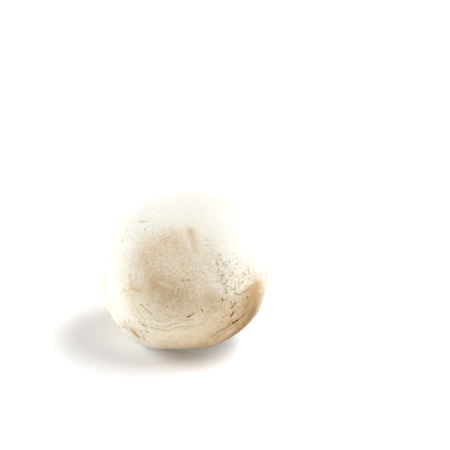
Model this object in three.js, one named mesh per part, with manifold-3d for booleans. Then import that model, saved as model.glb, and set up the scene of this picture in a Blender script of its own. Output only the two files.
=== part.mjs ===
// A closed white button mushroom, 50 mm across the cap. It lies as it settles on a table: leaning
// forward (towards -Y) on the front of its cap margin and on the near edge of its short cut stem.
//
// The whole mushroom grew as one piece, so it is one mesh. Its outline is drawn once, from the crown
// down to the cut end of the stem, and wrapped round the stem's axis on a grid of quads that has no
// pole at the crown. Broad swells and hollows then take away the lathe-turned evenness.
// Millimetres, +Z up, origin under the middle of the mushroom, on the table.

import * as THREE from "three";
import { mergeVertices } from "three/addons/utils/BufferGeometryUtils.js";
import Module from "manifold-3d";

// ---- Driving dimensions, in millimetres, measured along the stem's axis from the widest ring ----

const capRadius = 25; // half of the cap's width
const crownRise = 19.5; // from the widest ring up to the crown
const domeFullness = 0.6; // 0.55 is a true ellipse, and more is squarer in the shoulder
const marginDrop = 12.5; // from the widest ring down to the lowest ring of the rolled margin
const marginRadius = 17; // radius of that lowest ring
const stemReach = 8; // how far the cut stem stands out past the margin

const sheathRadius = 8.25; // the veil's sheath, round the upper half of the stem
const stemRadius = 7.25; // the bare stem at its cut end
const sheathReach = 3.6; // how far the sheath comes out past the margin
const sheathStep = 0.5; // length of the worn edge where the sheath ends
const lipRadius = 11.25; // the cottony lip of the hole that the stem comes out of
const lipRecess = 0.6; // how far the lip lies back from the margin's lowest ring
const moatDepth = 3.6; // the shadowed moat between lip and sheath, from the same ring

const sideFullness = 0.6; // how far down the side stays upright, as a share of marginDrop
const rollFullness = 0.45; // how square the roll under the margin is: 0 is a bevel, 1 a corner
const veilRun = [3.5, 1.5]; // how far the veil runs on level from the margin, and from the lip
const lipRound = 1.4; // how roundly the lip and the far side of the moat turn
const lipHump = 0.4; // how far the lip bulges
const moatFloor = 0.6; // width of the moat's floor
const moatCorner = 1.8; // height of the rounding between the moat and the sheath
const stemTaper = 0.1; // the bare stem is this much wider where it leaves the sheath

// ---- What makes it a grown thing ----

const ovality = 0.017; // the cap is this share wider along one diameter
const ovalAxis = 60; // degrees round the stem axis, from +X
const crownShift = [0.18, 0.23]; // the crown sits off the stem's axis
const swellSpread = 0.42; // how far a swell reaches, in radians seen from the cap's middle
// Each swell or hollow: degrees round the axis from +X, degrees above the widest ring, rise, spread.
const swells = [
  [-92, -30, -1.12, swellSpread],
  [-125, -20, 1.88, swellSpread],
  [-20, -20, 1.01, swellSpread],
  [20, -3, -0.13, swellSpread],
  [55, 15, -0.3, swellSpread],
  [100, 30, -0.55, swellSpread],
  [150, 25, 0.96, swellSpread],
  [-160, -2, 0.88, swellSpread],
  [-66, -50, 1.3, 0.36], // under the front of the margin, where the cap bears on the table
];
const stemBend = [0.5, -0.3]; // how far the stem's end has grown to one side
const stemLobes = [0.02, 0.012]; // two-sided and three-sided unevenness of the stem
const cutSlope = 0.035; // the knife went through the stem a little aslant
const sheathRag = 0.2; // unevenness of the sheath's torn edge
const pressDepth = 0.45; // how deep the two small resting flats are worn in

// ---- The grid ----

const capRings = 10; // rings of quads from the crown to the top row of the side
const sideRows = 44; // rows of quads from there to the edge of the cut
const crownPatch = 20; // arc length of the crown's rings
const rowSqueeze = 0.55; // rows get closer together towards the finer underside

const rad = THREE.MathUtils.degToRad;

// The outline as (radius, height), from the crown to the middle of the cut end.
function outline() {
  const k = domeFullness;
  const lip = -marginDrop + lipRecess;
  const moat = -marginDrop + moatDepth;
  const sheathEnd = -marginDrop - sheathReach;
  const path = new THREE.Path();
  path.moveTo(0, crownRise);
  // the dome
  path.bezierCurveTo(k * capRadius, crownRise, capRadius, k * crownRise, capRadius, 0);
  // the side of the cap, rolling under into the margin
  const rolled = marginRadius + rollFullness * (capRadius - marginRadius);
  const upright = -sideFullness * marginDrop;
  path.bezierCurveTo(capRadius, upright, rolled, -marginDrop, marginRadius, -marginDrop);
  // the closed veil, drawn in to the lip of the stem's hole
  const [fromMargin, fromLip] = [marginRadius - veilRun[0], lipRadius + veilRun[1]];
  path.bezierCurveTo(fromMargin, -marginDrop, fromLip, lip + lipHump, lipRadius, lip);
  // over the lip into the moat
  const [inner, outer] = [lipRadius - lipRound, sheathRadius + lipRound];
  path.bezierCurveTo(inner, lip - lipHump, outer, moat, sheathRadius + moatFloor, moat);
  path.quadraticCurveTo(sheathRadius, moat, sheathRadius, moat - moatCorner);
  // down the sheath, in at its worn edge, and down the bare stem
  path.lineTo(sheathRadius, sheathEnd);
  path.lineTo(stemRadius + stemTaper, sheathEnd - sheathStep);
  path.lineTo(stemRadius, -marginDrop - stemReach);
  return path;
}

// Turns a point of a square grid into a distance and an angle, so that square rings become round.
function squareToDisc(x, y) {
  const quarter = Math.PI / 4;
  const reach = Math.max(Math.abs(x), Math.abs(y));
  let angle = 0;
  if (reach > 0 && Math.abs(x) >= Math.abs(y)) angle = quarter * (y / x) + (x < 0 ? Math.PI : 0);
  else if (reach > 0) angle = 2 * quarter - quarter * (x / y) + (y < 0 ? Math.PI : 0);
  return { reach, angle };
}

// How much of the cap's unevenness a point takes: all of it on the cap, none of it on the stem.
function capShare(radius, height) {
  if (height > 0) return 1;
  return THREE.MathUtils.smoothstep(radius, sheathRadius + 1, sheathRadius + 7);
}

function growUnevenly(point, radius, angle) {
  const height = point.z;
  const share = capShare(radius, height);
  const oval = ovality * Math.cos(2 * (angle - rad(ovalAxis))) * (radius / capRadius) * share;
  point.x *= 1 + oval;
  point.y *= 1 + oval;
  const up = Math.max(0, (height + marginDrop) / (crownRise + marginDrop));
  point.x += crownShift[0] * up * up * share;
  point.y += crownShift[1] * up * up * share;

  const outward = point.clone().normalize();
  let rise = 0;
  for (const [around, above, amount, spread] of swells) {
    const towards = new THREE.Vector3(
      Math.cos(rad(above)) * Math.cos(rad(around)),
      Math.cos(rad(above)) * Math.sin(rad(around)),
      Math.sin(rad(above)),
    );
    rise += amount * Math.exp((-2 * (1 - outward.dot(towards))) / (spread * spread));
  }
  point.addScaledVector(outward, rise * share);
}

// The stem's own unevenness: lobes, a slight bend, a torn sheath edge and an aslant cut.
function shapeStem(point, angle) {
  const lobes = stemLobes[0] * Math.cos(2 * angle + 0.6) + stemLobes[1] * Math.cos(3 * angle - 1);
  point.x *= 1 + lobes;
  point.y *= 1 + lobes;
  const out = Math.max(0, (-marginDrop + moatDepth - point.z) / (moatDepth + stemReach));
  const nearSheathEnd = Math.exp(-(((point.z + marginDrop + sheathReach) / 1.5) ** 2));
  point.z += sheathRag * nearSheathEnd * (Math.sin(3 * angle + 0.5) + 0.6 * Math.sin(7 * angle));
  point.z += cutSlope * point.x * out;
  point.x += stemBend[0] * out * out;
  point.y += stemBend[1] * out * out;
}

function mushroomGeometry() {
  const path = outline();
  const edgeOfCut = path.getLength();
  const box = new THREE.BoxGeometry(2, 2, 2, 2 * capRings, 2 * capRings, sideRows);
  const position = box.getAttribute("position");
  const point = new THREE.Vector3();
  for (let i = 0; i < position.count; i++) {
    point.fromBufferAttribute(position, i);
    const { reach, angle } = squareToDisc(point.x, point.y);
    // from 0 at the top row of the side to 1 at the edge of the cut
    const down = (1 - point.z) / 2;
    let along = crownPatch + (edgeOfCut - crownPatch) * down * (1 + rowSqueeze - rowSqueeze * down);
    let inward = 1;
    if (down === 0) along = crownPatch * reach;
    if (down === 1) inward = reach;
    const drawn = path.getPointAt(Math.min(1, along / edgeOfCut));
    const radius = drawn.x * inward;
    point.set(radius * Math.cos(angle), radius * Math.sin(angle), drawn.y);
    if (drawn.y < -marginDrop + moatDepth + 0.01 && drawn.x < sheathRadius + moatFloor + 0.1) {
      shapeStem(point, angle);
    } else {
      growUnevenly(point, radius, angle);
    }
    position.setXYZ(i, point.x, point.y, point.z);
  }
  box.deleteAttribute("normal");
  box.deleteAttribute("uv");
  return mergeVertices(box, 1e-4);
}

// The lean at which the front of the margin and the near edge of the stem are level on the table.
function leanOf(geometry) {
  const position = geometry.getAttribute("position");
  const lowest = (angle, onStem) => {
    let low = Infinity;
    for (let i = 0; i < position.count; i++) {
      const isStem = position.getZ(i) < -marginDrop - sheathReach;
      if (isStem !== onStem) continue;
      const height = position.getY(i) * Math.sin(angle) + position.getZ(i) * Math.cos(angle);
      low = Math.min(low, height);
    }
    return low;
  };
  let [least, most] = [rad(10), rad(60)];
  for (let step = 0; step < 40; step++) {
    const middle = (least + most) / 2;
    if (lowest(middle, false) > lowest(middle, true)) least = middle;
    else most = middle;
  }
  return (least + most) / 2;
}

// Stands the mushroom on the table, sunk by the depth of its resting flats.
function settle(geometry) {
  geometry.rotateX(leanOf(geometry));
  geometry.computeBoundingBox();
  const { min, max } = geometry.boundingBox;
  geometry.translate(-(min.x + max.x) / 2, -(min.y + max.y) / 2, -min.z - pressDepth);
  return geometry;
}

const wasm = await Module();
wasm.setup();

function solidOf(geometry) {
  return new wasm.Manifold(
    new wasm.Mesh({
      numProp: 3,
      vertProperties: geometry.getAttribute("position").array,
      triVerts: new Uint32Array(geometry.index.array),
    }),
  );
}

// Everything below the table plane is cut away, which leaves two small flats to rest on.
function cutRestingFlats(geometry) {
  const side = 4 * capRadius;
  const below = new THREE.BoxGeometry(side, side, side).translate(0, 0, -side / 2);
  below.deleteAttribute("normal");
  below.deleteAttribute("uv");
  const cut = solidOf(geometry).subtract(solidOf(mergeVertices(below))).getMesh();
  const result = new THREE.BufferGeometry();
  result.setAttribute("position", new THREE.BufferAttribute(cut.vertProperties, 3));
  result.setIndex(new THREE.BufferAttribute(cut.triVerts, 1));
  result.computeVertexNormals();
  return result;
}

const mushroomFlesh = new THREE.MeshStandardMaterial({
  name: "white_mushroom_skin",
  color: 0xf1e8d8,
  roughness: 0.72,
  metalness: 0,
});

const mushroom = new THREE.Mesh(cutRestingFlats(settle(mushroomGeometry())), mushroomFlesh);
mushroom.name = "mushroom";

const buttonMushroom = new THREE.Group();
buttonMushroom.name = "button_mushroom";
buttonMushroom.add(mushroom);

export default buttonMushroom;
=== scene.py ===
# %% [markdown]
# A closed white button mushroom, 50 mm across the cap, lies tipped forward on a table. Its shape comes
# from a packed model, the frame, so nothing is guessed here about size or place: this script loads that
# frame, and then gives the mushroom its fine skin, its cracks and bruises, its cottony underside and
# its light.

import math

import bpy
import numpy as np
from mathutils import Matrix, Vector


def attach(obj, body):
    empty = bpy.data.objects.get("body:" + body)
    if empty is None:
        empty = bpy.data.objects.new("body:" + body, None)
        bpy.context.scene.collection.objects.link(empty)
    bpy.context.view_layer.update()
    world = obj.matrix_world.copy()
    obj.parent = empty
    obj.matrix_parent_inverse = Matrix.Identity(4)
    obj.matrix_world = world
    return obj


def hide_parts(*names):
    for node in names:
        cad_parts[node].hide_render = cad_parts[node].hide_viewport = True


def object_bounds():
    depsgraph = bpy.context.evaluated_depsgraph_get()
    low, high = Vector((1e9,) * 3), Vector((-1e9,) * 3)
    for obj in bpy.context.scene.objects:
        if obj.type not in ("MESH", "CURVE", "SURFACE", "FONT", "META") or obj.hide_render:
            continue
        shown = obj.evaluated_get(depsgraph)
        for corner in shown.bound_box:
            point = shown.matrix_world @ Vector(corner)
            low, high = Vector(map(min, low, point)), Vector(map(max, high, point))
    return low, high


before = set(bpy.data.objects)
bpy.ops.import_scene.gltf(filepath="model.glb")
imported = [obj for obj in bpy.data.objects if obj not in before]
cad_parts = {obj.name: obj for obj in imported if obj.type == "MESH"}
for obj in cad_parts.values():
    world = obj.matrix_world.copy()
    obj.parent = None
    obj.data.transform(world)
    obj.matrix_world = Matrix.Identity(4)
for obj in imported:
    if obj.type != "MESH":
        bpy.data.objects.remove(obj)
cad_low, cad_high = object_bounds()
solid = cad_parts["mushroom"]
MM = 0.001
middle = (cad_low + cad_high) / 2
print("the mushroom's box in mm:", [round(side / MM, 1) for side in cad_high - cad_low])

# %% [markdown]
# The camera comes first, because the marks on the skin are placed as they are seen from it. It looks
# down on the crown with a long lens, as a product camera does, so the shape stays free of distortion.
# The mushroom stands a little up and to the left of the middle of a square picture, and the camera is
# turned for that rather than shifted.

# %% Camera
PICTURE = 450  # width and height of the picture, in pixels
LENS_MM = 100
SENSOR_MM = 36
AZIMUTH = math.radians(12)
ELEVATION = math.radians(28)
DISTANCE = 0.3805  # m
SEEN_AT = (184.2, 267.5)  # where the middle of the mushroom's box is seen, in pixels
lens_pixels = LENS_MM / SENSOR_MM * PICTURE

straight = Vector((
    -math.sin(AZIMUTH) * math.cos(ELEVATION),
    math.cos(AZIMUTH) * math.cos(ELEVATION),
    -math.sin(ELEVATION),
))
view_right = Vector((math.cos(AZIMUTH), math.sin(AZIMUTH), 0))
view_up = view_right.cross(straight)
eye = middle - straight * DISTANCE
aim = (
    straight
    - view_right * (SEEN_AT[0] - PICTURE / 2) / lens_pixels
    + view_up * (SEEN_AT[1] - PICTURE / 2) / lens_pixels
)

bpy.ops.object.camera_add(location=eye, rotation=aim.to_track_quat("-Z", "Y").to_euler())
camera = bpy.context.active_object
camera.data.lens = LENS_MM
camera.data.sensor_width = SENSOR_MM
camera.data.clip_start = 0.01
camera.data.clip_end = 20
bpy.context.scene.camera = camera
bpy.context.view_layer.update()
print("camera at", [round(x, 3) for x in camera.location])

# %% [markdown]
# The packed solid is faceted, with one triangle about every 2 mm. A copy of it is the start of the
# visible mushroom: its loose triangles are merged, paired into quads again, and smoothed by
# Subdivision Surface. The sharp edge of the cut stem is creased first, or it would melt.

# %% A smooth copy of the solid
bpy.ops.object.select_all(action="DESELECT")
flesh = bpy.data.objects.new("mushroom_flesh", solid.data.copy())
bpy.context.scene.collection.objects.link(flesh)
flesh.data.materials.clear()
bpy.context.view_layer.objects.active = flesh
flesh.select_set(True)

MERGE = 0.02 * MM
bpy.ops.object.mode_set(mode="EDIT")
bpy.ops.mesh.select_all(action="SELECT")
bpy.ops.mesh.remove_doubles(threshold=MERGE)
bpy.ops.mesh.tris_convert_to_quads(face_threshold=math.radians(50), shape_threshold=math.radians(60))
bpy.ops.mesh.select_mode(type="EDGE")
bpy.ops.mesh.select_all(action="DESELECT")
bpy.ops.mesh.edges_select_sharp(sharpness=math.radians(55))
bpy.ops.transform.edge_crease(value=0.8)
bpy.ops.mesh.select_mode(type="FACE")
bpy.ops.object.mode_set(mode="OBJECT")


def apply_modifier(kind, **settings):
    """Adds one modifier to the mushroom, sets it and applies it."""
    modifier = flesh.modifiers.new(kind.lower(), kind)
    for name, value in settings.items():
        setattr(modifier, name, value)
    bpy.ops.object.modifier_apply(modifier=modifier.name)


apply_modifier("SUBSURF", levels=2, render_levels=2)
print("smoothed to", len(flesh.data.polygons), "faces")

# %% [markdown]
# Every mark has to know where it is on the mushroom. The best coordinates are the mushroom's own: how
# far out from the stem's axis, at what angle round it, and how high along it. The axis is found from
# the flat cut end of the stem, whose faces all share one normal.

# %% The mushroom's own axis
STEM_END = Vector((0.5, -0.3, -20.5)) * MM  # the cut's middle, from the middle of the widest ring
STEM_WAY = np.array((0, 0.59, -0.81))  # roughly where the stem points: back and down
SAME_WAY = 0.9999  # two normals agree if their dot product is more than this
FLAT = 0.05 * MM  # a face lies in the plane of the cut if it is nearer to it than this


def triples(items, kind):
    """Three numbers for each vertex or face, such as its place or its normal, as an array."""
    numbers = np.empty(len(items) * 3)
    items.foreach_get(kind, numbers)
    return numbers.reshape(-1, 3)


face_normals = triples(solid.data.polygons, "normal")
face_centres = triples(solid.data.polygons, "center")
furthest = np.argmax(face_centres @ STEM_WAY)
cut_normal = face_normals[furthest]
off_plane = np.abs((face_centres - face_centres[furthest]) @ cut_normal)
on_cut = (face_normals @ cut_normal > SAME_WAY) & (off_plane < FLAT)
cut_middle = (face_centres[on_cut].min(0) + face_centres[on_cut].max(0)) / 2
lean = math.atan2(cut_normal[1], -cut_normal[2])
print("the stem leans", round(math.degrees(lean), 1), "degrees; the cut's middle, mm:", cut_middle / MM)

turn = np.array((
    (1, 0, 0),
    (0, math.cos(lean), -math.sin(lean)),
    (0, math.sin(lean), math.cos(lean)),
))
ring_middle = cut_middle - turn @ np.array(STEM_END)
print("middle of the widest ring, mm:", ring_middle / MM)

# %% [markdown]
# To move tens of thousands of vertices one by one would be slow, so all of them are read into one
# array, moved together and written back. From here on lengths are in mm, as a mushroom is measured,
# and only the mesh itself is in metres.

# %% Out, round and along
def own_places(places):
    """Places in mm, given as seen along the mushroom's axis: out from it, round it and along it."""
    own = (places - ring_middle / MM) @ turn
    return np.hypot(own[:, 0], own[:, 1]), np.arctan2(own[:, 1], own[:, 0]), own[:, 2]


def read_mushroom():
    """The places of the mushroom's vertices in mm, and their normals."""
    return triples(flesh.data.vertices, "co") / MM, triples(flesh.data.vertices, "normal")


def write_mushroom(places):
    """Moves the vertices to the places, in mm, and keeps them on or above the table."""
    places[:, 2] = np.maximum(places[:, 2], 0)
    flesh.data.vertices.foreach_set("co", (places * MM).ravel())
    flesh.data.update()
    bpy.context.view_layer.update()


out, around, along = own_places(read_mushroom()[0])
print("the mushroom runs along its axis from", round(along.min(), 1), "to", round(along.max(), 1), "mm")

# %% [markdown]
# The cap of a real mushroom is never a clean dome. It has broad, barely visible swells from growing
# among its neighbours, and its skin is a felt of fine threads that lies in tiny lumps. Displace
# modifiers with cloud textures make them. They are applied, so the relief is in the mesh itself.

# %% Swells and felt
RELIEF = {  # size of the lumps and their full height, mm, and how many finer layers they have
    "swells": (12.0, 0.50, 0),
    "felt": (1.4, 0.06, 1),
    "nap": (0.5, 0.04, 1),
}


def clouds(name, size, detail):
    """A lumpy texture for Displace; size is in mm."""
    texture = bpy.data.textures.new(name, "CLOUDS")
    texture.noise_scale = size * MM
    texture.noise_depth = detail
    return texture


for name, (size, height, detail) in RELIEF.items():
    apply_modifier(
        "DISPLACE",
        texture=clouds(name, size, detail),
        texture_coords="LOCAL",
        strength=height * MM,
    )
bpy.context.view_layer.update()
print("width, depth and height, mm:", np.ptp(read_mushroom()[0], axis=0).round(1))

# %% [markdown]
# Cracks, scratches and wrinkles are what make this mushroom itself. Each is a line. On the front it is
# drawn where the camera sees it and laid on the skin by a ray from the camera, the way a stencil is
# sprayed on. Round the back it goes by longitude and latitude, as on a globe whose pole is the crown.

# %% Lines on the skin
OUTSIDE = 0.1  # m from the middle, well clear of the skin


def on_skin(x, y):
    """Where the camera sees the point x, y of the view plane, all in mm."""
    target = middle + (view_right * x + view_up * y) * MM
    hit, place = flesh.ray_cast(eye, (target - eye).normalized())[:2]
    if not hit:
        place = flesh.closest_point_on_mesh(target)[1]
    return np.array(place) / MM


def on_globe(longitude, latitude):
    """The skin at a longitude round the axis and a latitude from the widest ring, in degrees."""
    longitude, latitude = math.radians(longitude), math.radians(latitude)
    flat = math.cos(latitude)
    own_way = (flat * math.cos(longitude), flat * math.sin(longitude), math.sin(latitude))
    way = Vector(turn @ own_way)
    return np.array(flesh.ray_cast(Vector(ring_middle) + way * OUTSIDE, -way)[1]) / MM


def near_line(spots, line, reach, facing=None):
    """The spots near a line: their numbers, distances and places along it from 0 to 1.
    With facing, the way each spot faces, a distance is negative on the line's right."""
    inside = (spots > line.min(0) - reach) & (spots < line.max(0) + reach)
    near = np.flatnonzero(inside.all(1))
    distance = np.full(len(near), np.inf)
    share = np.zeros(len(near))
    side = np.ones(len(near))
    for number, (start, end) in enumerate(zip(line, line[1:])):
        step = end - start
        from_start = spots[near] - start
        part = np.clip(from_start @ step / (step @ step), 0, 1)
        away = np.linalg.norm(from_start - part[:, None] * step, axis=1)
        closer = away < distance
        distance[closer] = away[closer]
        share[closer] = (number + part[closer]) / (len(line) - 1)
        if facing is not None:
            leftward = (np.cross(step, from_start) * facing[near]).sum(1)
            side[closer] = np.where(leftward[closer] < 0, -1, 1)
    return near, distance * side, share


print("the crown's middle, mm:", on_globe(0, 90).round(1))

# %% [markdown]
# The broad forms come before the fine ones. The crown is a little flattened, so that it falls into
# shade beside the round shoulder. On the right flank the skin is folded over itself, and the margin
# is pressed into soft steps where it curls under.

# %% Dents and folds
DENT_REACH = 2.2  # a dent has faded this many radii from its line


def dent(points, radius, depth, lay=on_skin, steepness=2):
    """Presses a soft hollow of the depth along a line of points, in mm; a swell if depth is negative."""
    places, normals = read_mushroom()
    line = np.array([lay(*point) for point in points])
    near, distance, share = near_line(places, line, DENT_REACH * radius)
    places[near] -= normals[near] * (depth * np.exp(-((distance / radius) ** steepness)))[:, None]
    write_mushroom(places)


dent(((-6.5, 3.5), (1.0, 1.0), (4.0, -4.0)), 8.0, 0.55, steepness=4)
dent(((-9.5, -4.5), (-4.0, -8.5), (3.0, -8.0)), 3.4, 0.25)
dent(((-15.5, 8.0), (-16.0, 1.0), (-14.5, -4.0)), 2.2, -0.25)
dent(((13.2, -9.2), (16.4, -9.0), (19.0, -7.8), (21.0, -6.0)), 1.0, 0.45)
dent(((13.6, -7.0), (16.4, -6.6), (19.2, -5.0)), 1.6, -0.16)
dent(((-13.0, -17.5), (-8.0, -19.3), (-2.0, -18.8), (3.0, -18.4)), 0.7, -0.26)
dent(((-11.0, -15.6), (-7.0, -16.4), (-2.5, -15.2)), 0.7, -0.2)
dent(((80, 2), (100, -3)), 3.5, 0.35, lay=on_globe)
dent(((165, 12), (172, -6)), 2.5, 0.30, lay=on_globe)
dent(((30, -14), (60, -18), (85, -16)), 0.9, 0.16, lay=on_globe)
print("width, depth and height with the dents, mm:", np.ptp(read_mushroom()[0], axis=0).round(1))

# %% [markdown]
# A line is broken into short steps that wander a little, because skin never tears straight. Nothing is
# cut yet: each mark is only noted, with half its width, its depth and its darkness. Darkness 0 leaves
# no colour, 1 is brown in the middle of the line, and more makes the brown part wider. The brown is
# partly browned flesh and partly painted shade in the groove.

# %% Noting the marks
STEP = 0.35  # length of one step of a line, mm
HALF_LENGTHS = (0.25, 0.85)  # half of a fleck is at least and at most this share of its length
WIDTHS = (0.8, 1.25)  # how much narrower or wider than the others a fleck may be
VIGOURS = (0.45, 1.25)  # and how much fainter or stronger
BOW = 0.12  # how far the middle of a fleck strays, mm
chance = np.random.default_rng(20)
marks = []


def wandering(points, wander):
    """A line through the points, in short steps that stray a little."""
    line = []
    for start, end in zip(np.array(points), np.array(points)[1:]):
        steps = max(1, round(np.linalg.norm(end - start) / STEP))
        line += [start + (end - start) * step / steps for step in range(steps)]
    line.append(np.array(points[-1], float))
    return [point + chance.normal(0, wander, 2) for point in line]


def mark(points, width, depth, dark, lip=0.02, wander=0.05, lay=on_skin, bruise=0.0):
    """Notes one line. Its half width, its depth and the height of its lips are in mm."""
    line = np.array([lay(*point) for point in wandering(points, wander)])
    marks.append({"line": line, "width": width, "depth": depth, "dark": dark, "lip": lip, "bruise": bruise})


def scatter(count, low, high, length, slope, width, depth, dark, bruise=0.0, lay=on_skin):
    """Notes short flecks at random between two corners; slope is their angle and its spread."""
    for number in range(count):
        spot = chance.uniform(low, high)
        angle = math.radians(chance.normal(*slope))
        half = length * chance.uniform(*HALF_LENGTHS) * np.array((math.cos(angle), math.sin(angle)))
        bow = chance.normal(0, BOW, 2)
        vigour = chance.uniform(*VIGOURS)
        points = (spot - half, spot + bow, spot + half)
        wide = width * chance.uniform(*WIDTHS)
        mark(points, wide, depth * vigour, dark * vigour, wander=0.03, lay=lay, bruise=bruise * vigour)


print("a line is drawn in steps of", STEP, "mm")

# %% [markdown]
# First the tears. The long one runs under the right flank, where the cap's skin stretched as the cap
# opened, and it gapes in one place. The rest are short and open just enough to show a dark line:
# browned flesh, with painted shade deepest in the gaps.

# %% Cracks
CRACKS = (  # points, half width, depth, darkness
    (((6.6, -21.6), (8.8, -20.3), (10.3, -19.0), (11.5, -18.6), (12.7, -18.1)), 0.09, 0.20, 0.75),
    (((12.3, -18.2), (13.5, -17.6), (14.8, -16.8)), 0.11, 0.26, 1.1),
    (((14.2, -17.1), (15.3, -16.4), (16.2, -15.8)), 0.24, 0.48, 1.9),
    (((15.8, -16.1), (17.3, -15.0), (18.4, -14.1)), 0.10, 0.20, 0.9),
    (((12.7, -17.8), (13.5, -16.6), (14.3, -15.8)), 0.09, 0.16, 0.75),
    (((13.8, -14.9), (14.3, -14.1), (14.8, -13.4)), 0.22, 0.40, 1.9),
    (((13.7, -12.6), (14.6, -11.6), (15.3, -10.7)), 0.14, 0.28, 1.4),
    (((17.6, -12.7), (18.7, -11.9), (19.6, -10.8)), 0.10, 0.20, 0.9),
    (((18.7, -9.6), (19.1, -8.9)), 0.15, 0.22, 1.1),
    (((0.4, -14.9), (1.6, -14.3)), 0.12, 0.30, 1.1),
    (((1.4, -14.3), (2.2, -13.9), (2.9, -13.5)), 0.07, 0.16, 0.6),
    (((4.4, -12.5), (5.3, -13.0), (5.0, -13.7)), 0.08, 0.18, 0.65),
    (((11.1, -9.2), (11.4, -10.2)), 0.15, 0.24, 0.8),
    (((-15.6, -19.2), (-15.0, -19.9), (-14.2, -20.7)), 0.11, 0.28, 0.9),
    (((-16.9, -18.0), (-16.2, -18.9), (-15.5, -19.6)), 0.12, 0.22, 0.45),
    (((17.2, -17.3), (18.1, -16.3)), 0.10, 0.16, 0.7),
    (((15.2, -19.0), (16.4, -18.1)), 0.10, 0.16, 0.6),
    (((11.2, -21.6), (12.8, -20.9)), 0.10, 0.14, 0.5),
    (((6.0, -23.0), (7.8, -22.7)), 0.12, 0.14, 0.5),
    (((1.2, -23.9), (2.4, -23.9)), 0.14, 0.16, 0.7),
    (((-14.2, -18.3), (-13.1, -19.4)), 0.10, 0.16, 0.4),
    (((-12.3, -18.3), (-11.6, -19.0), (-11.0, -19.4)), 0.10, 0.20, 0.65),
    (((-13.5, -16.5), (-12.8, -17.0), (-12.1, -17.3)), 0.10, 0.18, 0.5),
    (((-14.5, -15.7), (-13.8, -16.3)), 0.10, 0.16, 0.45),
    (((-13.1, -20.8), (-12.3, -21.4)), 0.09, 0.14, 0.5),
)
for points, width, depth, dark in CRACKS:
    mark(points, width, depth, dark)
print(len(marks), "cracks")

# %% [markdown]
# Then what barely breaks the skin: scratches, pinholes, and the fine wrinkles that lie like smiles
# across the lower front, where the skin is pressed together as the margin curls in.

# %% Scratches, pinholes and wrinkles
mark(((-14.2, 14.3), (-12.8, 14.4), (-11.0, 14.1)), 0.20, 0.12, 0.20, bruise=0.55)
mark(((-12.3, 11.7), (-11.5, 12.2)), 0.12, 0.14, 0.55)
mark(((-11.6, 12.2), (-9.8, 12.9), (-8.0, 13.8), (-6.4, 14.6)), 0.14, 0.08, 0.08)
mark(((-1.2, -3.7), (-0.1, -3.6)), 0.11, 0.10, 0.55, bruise=0.9)
mark(((0.4, -3.7), (1.6, -3.7)), 0.11, 0.10, 0.5, bruise=0.9)
mark(((-13.9, -10.5), (-13.4, -10.8), (-12.5, -11.7)), 0.14, 0.14, 0.35, bruise=0.5)
mark(((-12.7, -11.5), (-11.0, -13.2), (-9.8, -14.2)), 0.08, 0.12, 0.5)
# the dark line and bruise-coloured band along the fold's crease are painted shade under the overhanging
# skin
mark(((17.2, -7.8), (19.1, -6.9), (20.6, -5.4)), 0.16, 0.20, 0.6, bruise=0.8)
mark(((14.7, -8.0), (16.4, -8.3), (17.4, -7.9)), 0.12, 0.18, 0.6, bruise=0.6)
PINHOLES = (  # place and darkness; each is a very short line
    (5.6, -1.7, 0.6), (12.0, -7.5, 0.5), (-2.3, -6.7, 0.6), (-2.0, -8.8, 0.7), (-5.4, -11.7, 0.7),
    (-11.2, 2.0, 0.5), (-23.4, 3.0, 0.4), (1.0, 12.9, 0.4), (-12.5, 4.1, 0.5), (8.6, -12.9, 0.4),
    (11.0, -16.5, 0.6), (-10.0, -0.1, 0.8), (12.3, -6.9, 0.7), (-7.0, 9.0, 0.3), (3.4, -11.6, 0.5),
)
for x, y, dark in PINHOLES:
    mark(((x - 0.15, y), (x + 0.15, y + 0.12)), 0.14, 0.14, dark)
WRINKLES = (
    ((-17.4, -10.4), (-15.6, -13.6), (-12.8, -16.3), (-11.0, -17.4)),
    ((-15.9, -9.8), (-14.2, -13.2), (-11.6, -15.7)),
    ((-10.4, -16.0), (-8.6, -17.2), (-6.1, -17.7), (-4.3, -16.9), (-2.5, -16.4), (-0.4, -16.3)),
    ((-11.2, -17.4), (-9.0, -18.0), (-7.4, -18.3), (-5.8, -18.9), (-4.3, -18.5)),
    ((-4.6, -18.6), (-3.1, -17.8), (-0.4, -17.5), (2.4, -17.5)),
    ((-7.6, -20.3), (-6.1, -20.6), (-4.3, -20.4), (-0.5, -20.5)),
    ((-9.8, -19.3), (-8.6, -20.3)),
    ((-8.6, -21.2), (-7.4, -21.9), (-6.1, -22.4)),
    ((-9.8, -14.6), (-8.4, -15.9), (-6.4, -16.2)),
    ((-2.6, -15.2), (0.0, -15.9), (2.8, -15.3)),
    ((-6.4, -13.6), (-4.0, -14.8), (-1.4, -13.9)),
    ((3.6, -17.3), (5.9, -16.7)),
)
# the brown line of each wrinkle is painted shade in its crease
for wrinkle in WRINKLES:
    mark(wrinkle, 0.15, 0.13, 0.15, lip=0.08, wander=0.08)
mark(((-7.1, 6.8), (-5.8, 8.2), (-3.7, 8.1), (-2.3, 6.2), (-3.1, 5.0)), 0.25, 0.07, 0.12)
print(len(marks), "marks so far")

# %% [markdown]
# On the right flank the skin has dried and pulled apart into many short splits. The clearest are drawn
# one by one. Nobody could tell if one of the others moved, so these are scattered at random, with a
# fixed seed, in the patches they keep to.

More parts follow.
